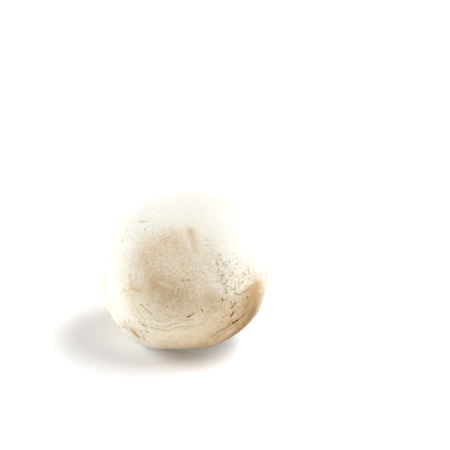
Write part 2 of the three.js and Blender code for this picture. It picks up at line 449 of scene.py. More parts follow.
# %% Dry splits
SPLITS = (
    ((10.6, 4.2), (10.8, 3.7), (11.2, 3.2)), ((9.8, 1.7), (10.2, 0.4)), ((13.4, 2.1), (13.9, 1.4)),
    ((11.4, 0.6), (11.9, 1.1), (12.4, 0.9), (12.3, 0.1)), ((15.1, 1.2), (15.8, 0.7)),
    ((14.6, -0.8), (15.3, -0.1)), ((5.1, -1.5), (6.0, -1.9)), ((17.8, -1.6), (18.4, -2.3)),
    ((21.4, 3.9), (21.5, 2.9)), ((20.8, 1.3), (20.9, 0.7)), ((22.6, 0.4), (22.7, -0.3)),
    ((18.5, 0.9), (18.6, 0.2)), ((17.1, 0.2), (17.2, -0.6)), ((19.2, -0.4), (19.4, -1.2)),
    ((11.2, -2.1), (11.5, -2.9)), ((14.3, -1.1), (14.5, -2.1)), ((11.7, -5.3), (12.4, -4.6)),
    ((12.4, -6.2), (12.7, -7.8)), ((14.9, -7.0), (15.2, -6.2), (15.6, -5.6)), ((14.7, -5.8), (15.0, -4.9)),
    ((16.5, -5.9), (16.8, -5.3), (17.6, -4.4), (18.2, -4.1)), ((17.9, -1.7), (18.3, -2.5), (18.5, -3.3)),
    ((21.0, -4.5), (21.4, -3.7), (21.6, -3.0)), ((15.4, -3.3), (15.9, -2.5)), ((15.0, -9.3), (15.2, -10.5)),
    ((15.8, -12.9), (16.4, -12.3), (16.9, -12.1)), ((17.0, -13.5), (17.4, -14.0)),
    ((11.3, -15.5), (11.5, -14.7)), ((12.0, -14.8), (12.8, -14.4)), ((10.6, -16.6), (11.2, -16.2)),
    ((7.3, -18.6), (8.0, -18.2)), ((17.5, -17.4), (18.0, -17.9)), ((-11.5, -10.4), (-11.1, -11.2)),
    ((-18.9, 9.3), (-18.7, 8.4)), ((-22.2, 9.1), (-21.2, 9.5)), ((-18.6, -5.5), (-18.5, -6.6)),
    ((24.2, 6.9), (24.4, 5.5)), ((24.1, 4.2), (24.1, 3.1)), ((22.6, -2.7), (23.6, -1.6)),
)
for split in SPLITS:
    mark(split, 0.075, 0.13, chance.uniform(0.35, 0.65), bruise=0.35)
PATCHES = (  # count, two corners, length, slope and its spread, half width, depth, darkness, bruise
    (26, (12.6, -0.6), (17.0, 4.6), 0.6, (62, 25), 0.06, 0.10, 0.28),
    (22, (9.4, -2.6), (13.4, 3.6), 0.5, (75, 45), 0.06, 0.10, 0.28),
    (8, (6.6, 6.2), (8.2, 8.4), 0.3, (70, 50), 0.07, 0.10, 0.4),
    (18, (13.5, -8.2), (19.5, -1.0), 1.1, (66, 18), 0.06, 0.12, 0.24),
    (14, (17.5, -4.5), (23.2, 3.0), 0.8, (78, 20), 0.06, 0.10, 0.28),
    (22, (9.5, -10.5), (14.0, -2.5), 0.5, (75, 35), 0.07, 0.11, 0.42, 0.4),
    (26, (10.5, -19.0), (21.5, -8.5), 0.6, (52, 25), 0.07, 0.11, 0.42, 0.4),
    (18, (-24.6, -8.0), (-23.2, 4.0), 0.5, (88, 15), 0.08, 0.08, 0.5),
    (12, (-22.5, 1.0), (-16.5, 13.0), 0.4, (60, 25), 0.07, 0.08, 0.35),
    (10, (-18.0, -7.5), (-13.8, -2.0), 0.5, (70, 40), 0.08, 0.09, 0.3, 0.6),
    (22, (-18.8, -21.5), (-11.5, -14.5), 0.5, (-50, 25), 0.08, 0.10, 0.4, 0.7),
    (14, (-20.4, -18.0), (-18.4, -15.6), 0.4, (-50, 35), 0.08, 0.08, 0.35, 0.7),
    (34, (-11.0, -14.0), (9.0, 8.0), 0.45, (60, 60), 0.07, 0.07, 0.3),
    (12, (-4.0, -21.5), (10.0, -15.0), 0.5, (20, 25), 0.07, 0.07, 0.3),
)
for patch in PATCHES:
    scatter(*patch)
print(len(marks), "marks in front")

# %% [markdown]
# The back of the cap has to look as real as the front, so it gets tears, wrinkles and flecks of its
# own, of the same kinds and in patches too.

# %% Marks round the back
GLOBE_CRACKS = (  # longitudes and latitudes in degrees, then as above
    (((62, 8), (70, 5), (79, 7), (86, 4)), 0.12, 0.22, 0.7),
    (((118, -8), (127, -11), (133, -10)), 0.12, 0.22, 0.8),
    (((150, 22), (156, 18), (158, 12)), 0.10, 0.14, 0.4),
    (((48, 22), (56, 19), (61, 13)), 0.10, 0.12, 0.35),
    (((12, -12), (22, -15), (34, -14), (42, -17)), 0.12, 0.22, 0.7),
    (((184, 2), (190, -3), (193, -9)), 0.10, 0.16, 0.5),
)
for points, width, depth, dark in GLOBE_CRACKS:
    mark(points, width, depth, dark, lay=on_globe, wander=0.12)
for latitude in (-13, -16, -19, -22):
    first = chance.uniform(60, 130)
    points = [(first + step, latitude + chance.normal(0, 0.6)) for step in range(0, 30, 6)]
    mark(points, 0.17, 0.10, 0.15, lip=0.05, wander=0.12, lay=on_globe)
GLOBE_PATCHES = (
    (50, (20, -22), (170, 30), 1.2, (80, 35), 0.08, 0.10, 0.45),
    (30, (40, 20), (140, 60), 1.0, (80, 40), 0.07, 0.08, 0.3),
    (24, (84, -14), (112, 4), 1.3, (80, 30), 0.08, 0.10, 0.45, 0.5),
    (24, (160, -24), (230, 0), 1.2, (80, 35), 0.08, 0.10, 0.45),
    (14, (60, -22), (72, -8), 1.2, (80, 35), 0.08, 0.10, 0.45),
)
for patch in GLOBE_PATCHES:
    scatter(*patch, lay=on_globe)
print(len(marks), "marks in all")

# %% [markdown]
# The skin of the cap is a coat of its own. It curls round the margin and ends in a ragged brown edge,
# just proud of the white, cottony veil that closes the underside of a young mushroom. The height of
# that edge changes as it goes round, so it is a small formula of the angle. Every vertex learns how far
# above the edge it lies.

# %% The edge of the skin
EDGE_HEIGHT = -9.6  # along the axis, mm
EDGE_LIFTED = (3.5, math.radians(-52), math.radians(46))  # how far, where, and over how wide an angle
EDGE_STEP = 0.24
MARGIN = 13  # the edge lies further out than this, mm
FULL_TURN = 6.28  # radians, near enough to start a wave anywhere


def ragged(angle, waves, seed):
    """A seamless wavering line round the axis, about -1 to 1."""
    draw = np.random.default_rng(seed)
    line = 0
    for wave in waves:
        line = line + np.sin(wave * angle + draw.uniform(0, FULL_TURN)) * draw.uniform(0.6, 1.0)
    return line / math.sqrt(len(waves))


def smooth_step(value, low, high):
    """0 below low, 1 above high, smooth between."""
    share = np.clip((value - low) / (high - low), 0, 1)
    return share * share * (3 - 2 * share)


def above_edge(places):
    """How far the places lie above the edge of the skin, along the axis, mm."""
    out, around, along = own_places(places)
    lift, lift_at, lift_wide = EDGE_LIFTED
    from_lift = np.angle(np.exp(1j * (around - lift_at)))
    edge = EDGE_HEIGHT + lift * np.exp(-((from_lift / lift_wide) ** 4))
    edge = edge + 0.30 * ragged(around, (2, 3, 5, 7), 3) + 0.12 * ragged(around, (19, 31, 43, 57), 4)
    return np.where(along > 0, along - edge, np.minimum(along - edge, out - MARGIN))


reaches_down = -above_edge(read_mushroom()[0]).min()
print("the mushroom goes on for", round(reaches_down, 1), "mm below the edge of its skin")

# %% [markdown]
# A crack is narrower than the faces of the mesh, so the mesh has to be finer there, and only there, or
# the mushroom would need millions of faces. Faces near a mark are selected by their distance from it
# and subdivided, and faces near a deep crack once more. So are those along the edge of the skin.

# %% A finer mesh along the marks
def refine(chosen):
    """Cuts each chosen face in four."""
    bpy.ops.object.mode_set(mode="EDIT")
    bpy.ops.mesh.select_all(action="DESELECT")
    bpy.ops.object.mode_set(mode="OBJECT")
    flesh.data.polygons.foreach_set("select", chosen)
    bpy.ops.object.mode_set(mode="EDIT")
    bpy.ops.mesh.subdivide(number_cuts=1)
    bpy.ops.object.mode_set(mode="OBJECT")
    triangles = sum(len(face.vertices) - 2 for face in flesh.data.polygons)
    print("faces cut:", int(chosen.sum()), "triangles now:", triangles)


ROUNDS = ((0.45, 0.0), (0.26, 0.15))  # how near to a mark, and how deep it is at least, mm
EDGE_REACH = 0.7  # the band along the skin's edge is this much of the band along a mark
for reach, least_depth in ROUNDS:
    middles = triples(flesh.data.polygons, "center") / MM
    chosen = np.zeros(len(middles), bool)
    for each in marks:
        if each["depth"] >= least_depth:
            near, distance, share = near_line(middles, each["line"], reach)
            chosen[near[distance < reach]] = True
    chosen |= np.abs(above_edge(middles)) < EDGE_REACH * reach
    refine(chosen)

# %% [markdown]
# Now the marks are pressed in. Across a mark the skin follows a bell-shaped groove with a low lip on
# each side, and along it the groove fades to nothing at both ends.
#
# For its colour a mark leaves two numbers on the vertices: how dark it is, and how far across it the
# vertex lies, counted in half widths, positive on its left and negative on its right. Between two
# vertices Blender blends such a number evenly, so it passes through 0 just where the line runs, and
# the material can draw the line sharply, however coarse the mesh.

# %% Press the marks in
TINTS = ("dark", "cream", "fawn", "ochre", "bruise", "pale", "speck", "woven", "netted", "stain_and_shade")
LIP_PLACE = 1.9  # in half widths from the groove's middle
LIP_WIDTH = 0.7  # these four are counted in half widths too
LIPS_END = 4
BRUISE_WIDTH = 2.2
DARK_WIDTH = 1.6
SPARE = 0.5  # vertices are looked for this much further out, mm
SURE = 0.16  # a narrow mark's darkness is whole this near to it, in mm
UNSURE = 0.34  # and gone this far from it
ENDS = 5  # the higher, the shorter the ends over which a groove fades
FAR_ACROSS = 9.0  # half widths, for a vertex that no mark is near
DEEPEST = 0.5  # mm
HIGHEST = 0.3
places, normals = read_mushroom()
tints = {name: np.zeros(len(places)) for name in TINTS}
across = np.full(len(places), FAR_ACROSS)
nearest = np.full(len(places), np.inf)
push = np.zeros(len(places))
for each in marks:
    width = each["width"]
    near, distance, share = near_line(places, each["line"], LIPS_END * width + SPARE, normals)
    apart = np.abs(distance)
    fading = np.sqrt(np.clip(ENDS * share * (1 - share), 0, 1))
    groove = np.exp(-((apart / width) ** 2)) * fading
    lips = np.exp(-(((apart / width - LIP_PLACE) / LIP_WIDTH) ** 2)) * fading
    push[near] += each["lip"] * lips - each["depth"] * groove
    soft = np.exp(-((apart / (BRUISE_WIDTH * width)) ** 2)) * fading * each["bruise"]
    tints["bruise"][near] = np.maximum(tints["bruise"][near], soft)
    wider = max(0, DARK_WIDTH * width - SURE)
    sureness = np.clip((UNSURE + wider - apart) / (UNSURE - SURE), 0, 1)
    closer = apart < nearest[near]
    nearest[near[closer]] = apart[closer]
    across[near[closer]] = np.clip(distance[closer] / width, -FAR_ACROSS, FAR_ACROSS)
    tints["dark"][near[closer]] = (each["dark"] * fading * sureness)[closer]
push = np.clip(push, -DEEPEST, HIGHEST)
write_mushroom(places + normals * push[:, None])
print("deepest groove, mm:", round(-push.min(), 2))

# %% [markdown]
# Colour that has no edge, such as a bruise, is dabbed on as with a soft sponge: strongest at the
# middle of the dab, and gone a few millimetres away. Where two dabs of one tint overlap they add up,
# but never to more than 1. The dabs are only masks: the material will say what colour each tint is.

# %% Dabs of colour
DAB_REACH = 2.5  # a dab has faded this many radii from its line
places, normals = read_mushroom()


def dab(tint, points, radius, strength, lay=on_skin):
    """Adds a tint round a line of points, fading over radius, in mm."""
    line = np.array([lay(*point) for point in points])
    near, distance, share = near_line(places, line, DAB_REACH * radius)
    soft = strength * np.exp(-((distance / radius) ** 2))
    tints[tint][near] = 1 - (1 - tints[tint][near]) * (1 - soft)


def coverage(tint):
    """How much of the vertices a tint covers, for printing."""
    return f"{tint} {tints[tint].mean():.0%}"


print("from the marks alone:", coverage("dark"), coverage("bruise"))

# %% [markdown]
# The front of the crown faces away from the lamps. It is cream all over, with fawn along its left side
# and in a band that runs down to the right, where it is deepest, and ochre at the darkest place:
# partly the skin's own tint, partly painted shade.

# %% The shaded crown
# the fawn and ochre here are partly painted shade on the front of the crown, which faces away from the
# lamps
CROWN = (  # the tint, the points, the radius and the strength
    ("cream", ((-10.5, 3.5), (-6.0, 7.5), (-0.5, 8.4), (2.0, 6.0)), 5.2, 0.75),
    ("cream", ((-10.0, -6.0), (-3.0, -4.0), (3.0, -1.0)), 6.0, 0.7),
    ("cream", ((-8.0, -12.0), (0.0, -11.0), (8.0, -8.0), (13.0, -6.0)), 6.5, 0.7),
    ("fawn", ((-11.5, 3.5), (-8.0, 7.0), (-4.0, 8.0)), 3.2, 0.5),
    ("fawn", ((-11.0, 0.0), (-8.5, -3.5)), 3.4, 0.5),
    ("fawn", ((-6.5, 2.0), (0.0, 3.6)), 4.3, 0.36),
    ("fawn", ((-8.0, -1.0), (1.0, -2.0), (5.0, -5.5)), 4.8, 0.3),
    ("fawn", ((-6.0, 10.2), (1.0, 8.0)), 2.2, 0.12),
    ("fawn", ((-9.0, -4.5), (-3.5, -7.0), (1.0, -8.5)), 3.6, 0.75),
    ("ochre", ((-9.5, -4.3), (-5.5, -7.2), (-2.5, -9.0)), 2.4, 0.5),
    ("fawn", ((-7.0, -11.0), (0.0, -12.5), (8.0, -11.0)), 4.0, 0.5),
    ("ochre", ((-8.0, -8.5), (-4.0, -10.0), (1.0, -9.5)), 3.0, 0.2),
)
for each in CROWN:
    dab(*each)
print(coverage("cream"), coverage("fawn"))

# %% [markdown]
# Below the crown the cap turns away from the light. Its lower right side and its margin carry a brown
# stain, strongest at the margin, and painted shade darkens it further where a neighbour stood against
# the flank and where the margin curls under towards the table. Several dabs make it, each browner and
# narrower than the last, so it has no edge. "netted" says where the skin has dried into a net.

# %% The flank and the stained margin
FLANK = (
    # the cream and fawn on the lower front are partly painted warm shade, darkest near the table
    ("cream", ((-11.0, -20.5), (-3.0, -17.5), (6.0, -17.0)), 5.5, 0.8),
    ("cream", ((-8.0, -23.0), (-3.0, -23.2)), 3.4, 0.35),
    ("fawn", ((-16.4, -7.5), (-15.0, -12.0)), 1.9, 0.25),
    ("cream", ((-2.0, -24.0), (8.0, -22.0), (16.0, -18.0)), 5.0, 0.9),
    ("cream", ((-24.5, 3.0), (-24.0, -8.0), (-21.0, -14.0)), 2.4, 0.25),
    ("cream", ((-17.5, -7.0), (-14.0, -13.0)), 3.2, 0.5),
    ("fawn", ((1.0, -20.5), (8.0, -17.0), (13.0, -15.0)), 3.8, 0.5),
    ("fawn", ((-3.6, -23.0), (4.0, -23.4)), 3.4, 0.8),
    ("fawn", ((20.5, -8.5), (18.0, -13.5), (12.0, -17.5), (6.0, -22.5)), 4.6, 0.95),
    ("fawn", ((9.5, -10.5), (12.5, -12.5), (17.5, -14.0)), 4.0, 0.65),
    ("ochre", ((8.0, -11.0), (13.5, -12.5), (17.0, -13.5)), 3.5, 0.45),
    # ochre and the brown mask along the margin: a real stain with painted shade where the margin curls
    # under
    ("ochre", ((21.2, -6.5), (20.0, -11.5), (16.5, -15.5), (11.0, -20.0), (6.0, -23.0)), 3.6, 0.95),
    ("ochre", ((17.8, -9.6), (19.5, -7.5)), 2.2, 0.8),
    (
        "ochre",
        ((-5.0, -24.4), (6.3, -23.8), (12.6, -21.4), (17.2, -18.0), (19.8, -14.6), (21.6, -10.5)),
        4.2,
        0.9,
    ),
    (
        "stain_and_shade",
        ((-1.0, -24.7), (6.3, -23.9), (12.7, -21.5), (17.3, -18.1), (20.3, -14.0), (21.8, -9.5)),
        4.0,
        0.75,
    ),
    # painted shade where a neighbour stood against the flank, laid over the stain
    ("stain_and_shade", ((19.8, -8.4), (18.6, -11.8), (17.0, -15.5)), 2.8, 0.72),
    ("stain_and_shade", ((1.0, -24.6), (6.3, -23.9), (12.7, -21.5), (17.3, -18.1), (20.3, -14.0)), 3.2, 0.9),
    ("bruise", ((-20.5, 15.0), (-24.0, 8.5), (-25.2, 2.0), (-25.0, -4.0), (-23.3, -10.5)), 2.6, 0.3),
    ("bruise", ((19.0, 17.0), (22.5, 12.0), (24.8, 5.0), (25.0, -2.0)), 2.6, 0.4),
    ("pale", ((12.0, 4.5), (16.0, -0.5), (18.0, -4.5)), 2.6, 0.4),
    ("pale", ((11.5, -6.0), (13.5, -7.0)), 1.8, 0.65),
    ("cream", ((6.0, 6.5), (9.0, 0.5), (12.5, -4.0), (17.0, -4.0)), 3.6, 0.55),
    ("netted", ((9.5, 3.0), (11.5, -1.5), (14.0, -5.5)), 3.6, 0.75),
    ("netted", ((16.5, -4.5), (20.0, -1.5)), 3.0, 0.75),
    ("netted", ((11.0, -11.5), (16.0, -12.0), (13.0, -17.0)), 3.4, 0.7),
    ("netted", ((-17.5, -16.5), (-13.5, -19.5)), 2.4, 0.6),
    ("netted", ((-15.5, -6.5), (-17.0, 3.0)), 2.2, 0.5),
)
for each in FLANK:
    dab(*each)
print(coverage("ochre"), coverage("stain_and_shade"), coverage("netted"))

# %% [markdown]
# Small things come last: a scar high on the crown with a pale line beside it, bruises where something
# knocked the skin, pale streaks, and a pale band down the left shoulder that is a painted highlight.
# "woven" says where the threads of the felt show, and "speck" where tiny brown dots lie.

# %% Scar, bruises and pale streaks
SMALL = (
    ("fawn", ((1.9, 11.3), (2.4, 9.6), (3.0, 7.4), (3.1, 5.8)), 1.15, 0.95),
    ("ochre", ((1.9, 11.2), (2.4, 9.2)), 0.8, 0.3),
    ("pale", ((0.1, 10.8), (0.6, 9.0), (1.2, 7.1), (1.8, 5.6)), 0.4, 0.5),
    ("bruise", ((-16.4, -5.2), (-15.2, -6.2), (-14.2, -6.6)), 0.95, 0.85),
    ("bruise", ((-17.0, -2.0), (-16.0, -3.6)), 0.9, 0.35),
    ("bruise", ((-16.6, -18.3), (-15.2, -19.8)), 1.0, 0.95),
    ("bruise", ((-17.5, -18.0), (-14.8, -20.4)), 1.8, 0.45),
    ("ochre", ((-16.0, -18.2), (-14.6, -20.4)), 0.8, 0.7),
    ("bruise", ((-19.9, -16.4), (-18.8, -17.2)), 1.0, 0.4),
    ("bruise", ((15.2, -16.9), (14.2, -14.4), (14.7, -11.5)), 0.8, 0.4),
    ("bruise", ((11.2, -3.0), (12.6, -7.5)), 1.0, 0.35),
    ("pale", ((-13.8, -0.8), (-13.0, -3.4), (-11.6, -5.2)), 0.8, 0.35),
    ("pale", ((-7.7, -4.0), (-6.0, -4.9), (-4.2, -5.8)), 0.5, 0.34),
    ("ochre", ((-7.9, -3.1), (-5.4, -3.8), (-3.2, -4.6)), 0.5, 0.4),
    ("pale", ((-4.8, 1.6), (-3.2, 0.8), (-2.0, -0.6)), 1.0, 0.18),
    ("pale", ((4.0, 7.5), (6.5, 3.5), (8.5, -1.0), (12.0, -5.0)), 3.6, 0.3),
    # painted highlight: a pale band on the left shoulder, where the left lamp falls
    ("pale", ((-17.4, 7.0), (-17.2, -1.0)), 2.2, 0.5),
    ("cream", ((-12.6, 9.0), (-11.8, 4.0)), 2.4, 0.35),
    ("pale", ((5.0, -6.5), (9.0, -3.5), (14.5, -6.0)), 2.2, 0.22),
    ("pale", ((-8.0, 9.0), (-9.5, 7.6)), 0.7, 0.4),
    ("woven", ((-8.0, 5.0), (3.0, -2.0)), 8.5, 1.0),
    ("speck", ((-6.0, 0.0), (8.0, -6.0)), 10.0, 0.5),
    ("speck", ((12.0, 2.0), (15.0, -12.0)), 4.5, 0.8),
    ("speck", ((-17.0, -19.0), (-13.0, -17.0)), 3.0, 0.8),
    ("speck", ((-24.0, 3.0), (-24.0, -8.0)), 2.0, 0.7),
)
for each in SMALL:
    dab(*each)
print(coverage("bruise"), coverage("pale"), coverage("woven"), coverage("speck"))

# %% [markdown]
# The colours go on round the sides and the back, in the same kinds. The first few dabs carry the brown
# margin on, paler and paler, so that it does not stop short where the front ends.

# %% Colours round the back
BACK = (
    ("ochre", ((-88, -20), (-60, -17), (-25, -14)), 2.4, 0.8),
    ("cream", ((60, 0), (105, -8), (140, -4)), 7.0, 0.8),
    ("cream", ((50, 8), (100, 10), (150, 4)), 6.5, 0.5),
    ("cream", ((20, 2), (50, 6)), 6.0, 0.45),
    ("cream", ((175, -2), (200, -6)), 5.0, 0.5),
    ("fawn", ((60, 14), (72, 18)), 3.5, 0.35),
    ("fawn", ((150, -12), (164, -10)), 3.0, 0.45),
    ("netted", ((148, -10), (166, -8)), 4.0, 0.8),
    ("netted", ((30, 2), (44, 8)), 4.0, 0.6),
    ("fawn", ((84, -6), (96, -9), (112, -4)), 3.2, 0.75),
    ("ochre", ((90, -5), (100, -8)), 1.8, 0.55),
    ("cream", ((-30, -8), (10, -6), (35, -12)), 6.0, 0.7),
    ("fawn", ((-4, -6), (12, -10), (34, -14)), 4.8, 0.65),
    ("ochre", ((-8, -12), (2, -7), (8, -4)), 2.6, 0.45),
    ("ochre", ((-6, -17), (10, -17), (26, -19)), 2.4, 0.55),
    ("stain_and_shade", ((-14, -20), (4, -21)), 2.2, 0.5),
    ("cream", ((170, -14), (210, -12)), 6.0, 0.7),
    ("bruise", ((124, -9), (131, -10)), 1.0, 0.5),
    ("speck", ((60, 0), (130, -6)), 7.0, 0.7),
    ("netted", ((86, -6), (112, -8)), 4.5, 0.8),
    ("netted", ((20, -8), (30, -14)), 3.5, 0.6),
)
for each in BACK:
    dab(*each, lay=on_globe)
print("with the back:", *(coverage(tint) for tint in TINTS))

# %% [markdown]
# Under the cap the veil rolls in to the stem and leaves a hollow round it, darkened later with painted
# shade. Its threads run from margin to stem, and its inner lip is frayed. The stem wears a sheath of
# combed fibres that ends half way down in a torn ring, with bare stem below it. All of these are
# ripples that depend on the angle round the axis, made of whole numbers of waves, so they have no seam.
# Here are the helpers for them.

# %% Threads and torn rings
CUT = -20.5  # along the axis, mm
SHEATH_END = -16.1
SECOND_TEAR = 1.2  # how far above that the sheath opens once more, mm
WAVES = 7  # a ripple of threads is made of this many waves
COUNTS = (0.55, 1.45)  # and each has between these shares of the number of threads asked for


def threads(angle, count, seed):
    """Fine ripples round the axis, about -1 to 1, with some threads stronger than others."""
    draw = np.random.default_rng(seed)
    ripple = 0
    for number in range(WAVES):
        wave = int(count * draw.uniform(*COUNTS))
        ripple = ripple + np.sin(wave * angle + draw.uniform(0, FULL_TURN))
    return ripple / 2.6  # about the square root of the number of waves


def bell(value, width):
    """1 at 0, fading to nothing on both sides."""
    return np.exp(-((value / width) ** 2))


def from_ring(places):
    """How far the places lie above the torn end of the sheath, along the axis, mm."""
    out, around, along = own_places(places)
    torn = 0.40 * ragged(around, (2, 3, 5, 8), 9) + 0.12 * ragged(around, (23, 37, 51, 67), 10)
    return along - SHEATH_END - torn


def from_second(places):
    """How far they lie above a second tear in the sheath, which opens only part of the way round."""
    out, around, along = own_places(places)
    return along - SHEATH_END - SECOND_TEAR - 0.35 * ragged(around, (2, 3, 5), 18)


print("the sheath ends about", round(SHEATH_END - CUT, 1), "mm above the cut")

# %% [markdown]
# Each zone is a mask from 0 to 1 on the vertices, and each kind of relief is a ripple times the masks
# that say where it belongs. All the pushes are added up and the vertices are moved once. The stem's
# fibres are left off the flat cut, which a knife made. At the end the two flats that touch the table
# are pressed level again.

# %% Veil, sheath and stem
STEM_REACH = 9.2  # the stem lies nearer to the axis than this, mm
STEM_TOP = (9.0, 9.8)  # and it begins this far below the widest ring
LIP = (11.2, -11.9)  # the veil's frayed inner lip: out and along, mm
VEIL_THREADS = 0.070  # heights of the ripples, mm
VEIL_WAVES = 0.10
SHEATH_RIBS = 0.045
SHEATH_FIBRES = 0.030
STEM_FIBRES = 0.025
STEM_WAVES = 0.14
SHEATH_SWELL = 0.55
RING_SWELL = 0.22
TEAR_DEPTH = 0.30
FRAY = 0.25
NEAR_TABLE = 0.02  # what is lower than this touches the table

out, around, along = own_places(places)
skin_side = smooth_step(above_edge(places), -0.08, 0.08)
push = EDGE_STEP * skin_side * np.exp(-np.maximum(above_edge(places), 0) / 1.6) * (out > MARGIN)
veil = (1 - skin_side) * smooth_step(out, STEM_REACH + 0.2, STEM_REACH + 1.0)
stem_zone = smooth_step(-out, -STEM_REACH - 0.3, -STEM_REACH + 0.3) * smooth_step(-along, *STEM_TOP)
on_sheath = stem_zone * smooth_step(from_ring(places), -0.1, 0.1)
on_stem = stem_zone - on_sheath
sideways = smooth_step(normals @ turn[:, 2], -0.9, -0.5)  # 0 on the cut, 1 on the sides of the stem
gaping = smooth_step(ragged(around, (1, 2, 3), 19), -0.3, 0.5)  # 1 where the second tear is open
second_line = bell(from_second(places), 0.14) * stem_zone * gaping
push += VEIL_THREADS * threads(around, 110, 5) * veil * smooth_step(-out, -21, -17)
push += VEIL_WAVES * ragged(around, (4, 7, 9, 13), 25) * veil * smooth_step(-out, -18, -13)
push += SHEATH_RIBS * threads(around, 42, 6) * on_sheath
push += SHEATH_FIBRES * threads(around, 70, 16) * on_sheath
push += STEM_FIBRES * threads(around, 40, 7) * on_stem * sideways
push += STEM_WAVES * ragged(around, (2, 3, 5), 17) * stem_zone * sideways
push += SHEATH_SWELL * smooth_step(along, -14.0, -9.6) * on_sheath
push += RING_SWELL * on_sheath * bell(from_ring(places), 0.9)
push -= TEAR_DEPTH * second_line
places = places + normals * push[:, None]

fray = ragged(around, (9, 17, 29, 41, 53), 8)
near_lip = bell(out - LIP[0], 1.1) * bell(along - LIP[1], 0.9)
places = places + turn[:, 2] * (FRAY * fray * near_lip)[:, None]
on_table = read_mushroom()[0][:, 2] < NEAR_TABLE
places[on_table, 2] = 0
write_mushroom(places)
print("vertices on veil, sheath and stem:", *(int(zone.sum()) for zone in (veil, on_sheath, on_stem)))

# %% [markdown]
# The material can only see what the mesh carries, so the tints and the zones become vertex attributes.
# One more attribute tells it the way the threads run: three numbers that change fast round the axis and
# slowly along the skin. A noise that is read through them comes out combed from crown to margin.

# %% Hand the tints to the mesh
MOST_DARK = 2  # darkness is the one tint that may be more than 1
# the painted shade in the gap between veil and stem begins and is whole at these
HOLLOW_ALONG = (-12.2, -10.0)  # the dark gap between veil and stem begins and is whole here, mm
HOLLOW_OUT = (12.4, 11.0)
UNDERSIDE = -8  # everything lower than this along the axis is under the cap, mm
RIM_RISE = 0.25  # the cut has a brown rim this far above it, mm
RIM_WIDTH = 0.3
RIM_OUT = 6  # and keeps further out than this
COMB_FROM = 12  # the slope is seen from a point this far below the widest ring, mm
COMB_SHARE = 0.12  # and changes the combed numbers this much

out, around, along = own_places(places)
tints["veil"] = veil
tints["stem"] = stem_zone
in_gap = smooth_step(along, *HOLLOW_ALONG) * smooth_step(out, *HOLLOW_OUT)
# this mask carries the painted shade in the gap round the stem
tints["hollow"] = in_gap * (along < UNDERSIDE)
tints["second"] = stem_zone * gaping
tints["cut"] = (along < CUT + RIM_RISE) * smooth_step(-out, -9, -8)
rim_line = bell(along - CUT - RIM_RISE, RIM_WIDTH) * (out > RIM_OUT) * (out < STEM_REACH)
tints["rim"] = rim_line * np.clip(0.6 + 0.5 * ragged(around, (1, 2, 3, 7), 13), 0, 1)
lines = {
    "across": across,
    "from_edge": np.clip(above_edge(places), -2, 2),
    "from_ring": np.clip(from_ring(places), -2, 2),
    "from_second": np.clip(from_second(places), -2, 2),
    "browned": np.clip(0.55 + 0.55 * ragged(around, (3, 4, 11, 15), 12), 0.1, 1),
}
for name, mask in tints.items():
    lines[name] = np.clip(mask, 0, MOST_DARK if name == "dark" else 1)
for name, line in lines.items():
    flesh.data.attributes.new(name, "FLOAT", "POINT").data.foreach_set("value", line)
slope = np.arctan2(out, along + COMB_FROM)
combed = np.stack((np.cos(around), np.sin(around), slope * COMB_SHARE), axis=1)
flesh.data.attributes.new("combed", "FLOAT_VECTOR", "POINT").data.foreach_set("vector", combed.ravel())
bpy.ops.object.shade_smooth()
print("attributes:", *lines, "combed")

# %% [markdown]
# Shader maths reads best when it looks like maths. This small class wraps one output socket of a node,
# so that an expression such as 1 - mask * 0.5 adds the Math nodes it needs.

# %% A socket that can be calculated with
class Wire:
    """An output socket of a shader node, with Python's arithmetic."""

    def __init__(self, tree, socket=None):
        self.tree = tree
        self.socket = socket

    def node(self, kind, settings=None, sockets=None, out=0):
        """Adds a node: first its settings, then the values or wires of its sockets."""
        made = self.tree.nodes.new("ShaderNode" + kind)
        for name, value in (settings or {}).items():
            setattr(made, name, value)
        for name, value in (sockets or {}).items():
            if isinstance(value, Wire):
                self.tree.links.new(value.socket, made.inputs[name])
            else:
                made.inputs[name].default_value = value
        return Wire(self.tree, made.outputs[out])

    def maths(self, operation, *values):
        """A Math node on the values."""
        return self.node("Math", {"operation": operation}, dict(enumerate(values)))

    def __add__(self, other):
        return self.maths("ADD", self, other)

    def __radd__(self, other):
        return self.maths("ADD", other, self)

    def __sub__(self, other):
        return self.maths("SUBTRACT", self, other)

    def __rsub__(self, other):
        return self.maths("SUBTRACT", other, self)

    def __mul__(self, other):
        return self.maths("MULTIPLY", self, other)

    def __rmul__(self, other):
        return self.maths("MULTIPLY", other, self)

    def rise(self, low, high):
        """0 below low, 1 above high, smooth between; it falls instead if low is above high."""
        limits = {"Value": self, "From Min": low, "From Max": high}
        return self.node("MapRange", {"interpolation_type": "SMOOTHSTEP"}, limits)

    def bell(self, width):
        """1 where this is 0, fading to nothing on both sides."""
        narrow = self * (1 / width)
        return self.maths("EXPONENT", -1 * narrow * narrow)

    def blend(self, under, over, share, way="MIX"):
        """Lays one colour over another by share."""
        settings = {"data_type": "RGBA", "blend_type": way}
        return self.node("Mix", settings, {0: share, 6: under, 7: over}, out=2)

    def into(self, shader, name):
        """Leads this wire into a socket of a shader."""
        self.tree.links.new(self.socket, shader.inputs[name])


print("besides plus, minus and times, a Wire knows:", *(name for name in vars(Wire) if name[0] != "_"))

# %% [markdown]
# The skin is white, but never plain white: it is cream where the flesh shows through, fawn and ochre
# where it is stained, and brown where it tore. On the front, where the cap turns away from the lamps,
# the cream, fawn and ochre are partly painted shade, and so is the brown at the bottom of the cracks.
# This is the palette, in linear light, which is how Blender counts colour, so the numbers look darker
# than the colours are.

# %% The palette
def colour(red, green, blue):
    """A colour as a socket wants it, with its alpha."""
    return (red, green, blue, 1)


